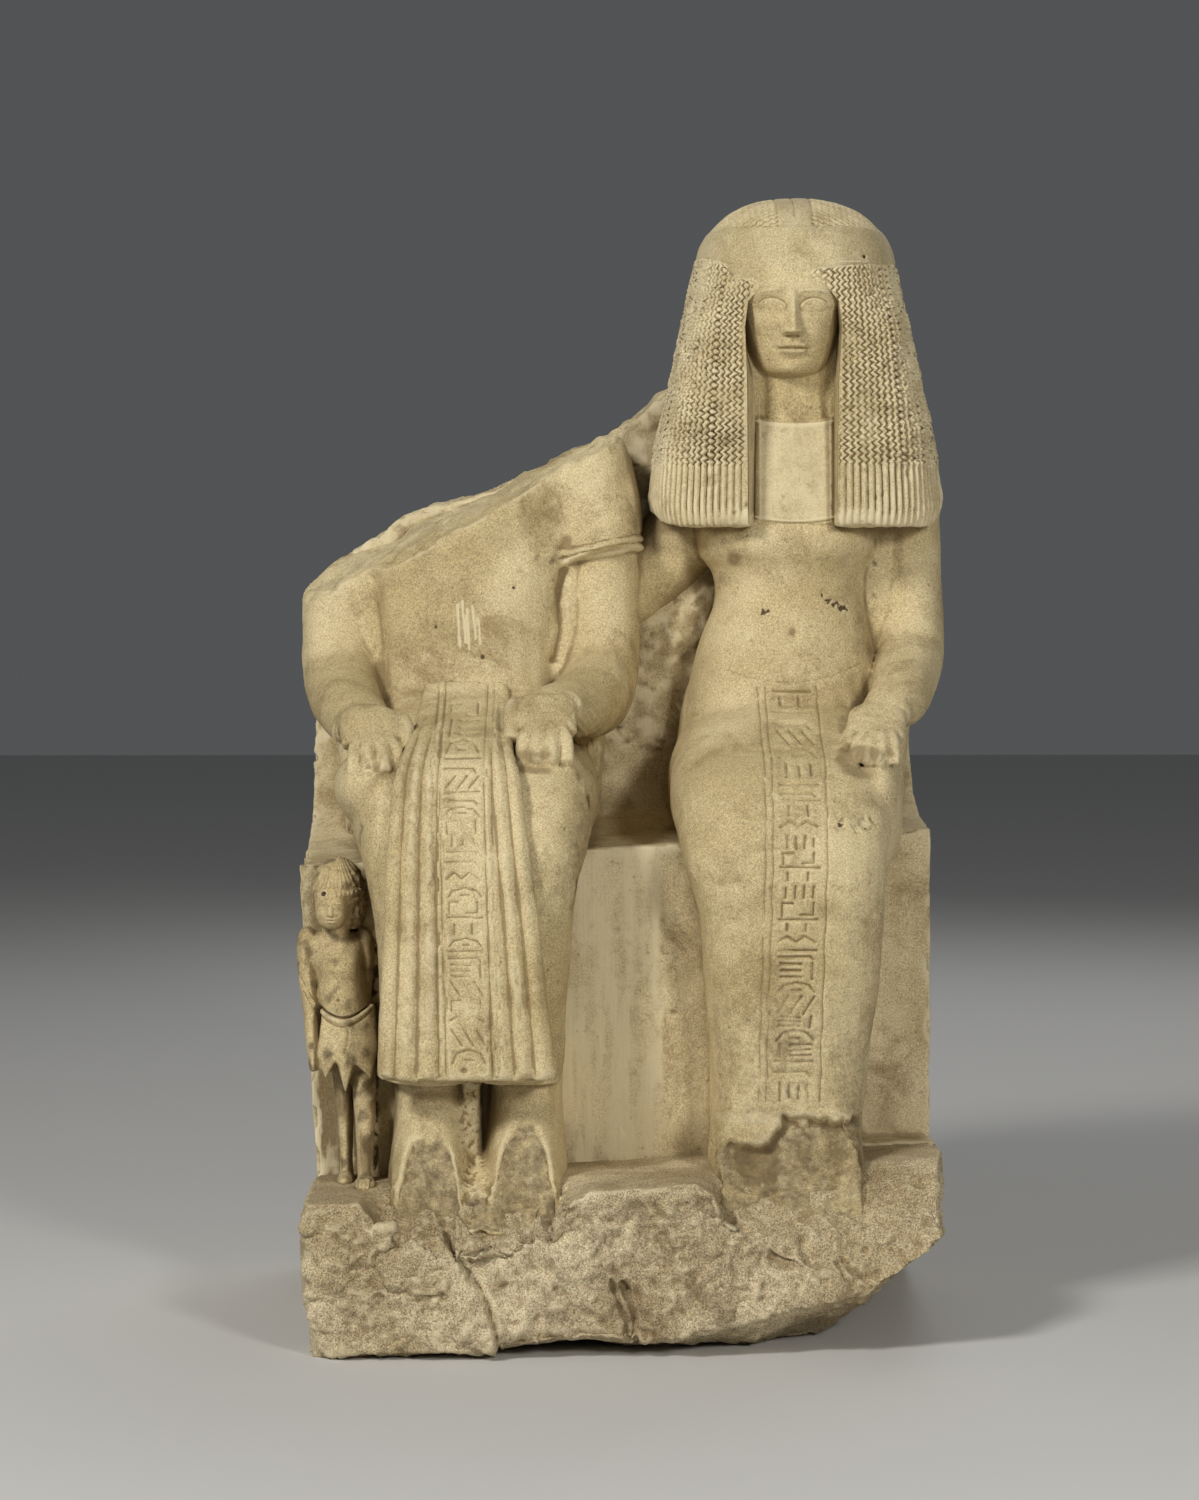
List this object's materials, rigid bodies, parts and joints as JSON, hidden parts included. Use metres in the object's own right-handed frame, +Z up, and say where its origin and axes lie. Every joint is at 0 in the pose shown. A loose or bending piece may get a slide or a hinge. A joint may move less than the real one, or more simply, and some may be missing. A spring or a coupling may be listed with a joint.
{
  "type": "family group statue",
  "caption": "Weathered limestone seated couple with a small standing child on one block, one head missing, broken front of base.",
  "frame": {"origin": "middle of the flat underside that the block stands on", "axes": "+Z up, the figures look along -Y, +X towards the seated woman"},
  "size_m": [0.4953, 0.4269, 0.847],
  "materials": {
    "limestone": "worn matt limestone"
  },
  "bodies": {
    "root": {"family_group": "limestone"}
  },
  "joints": []
}
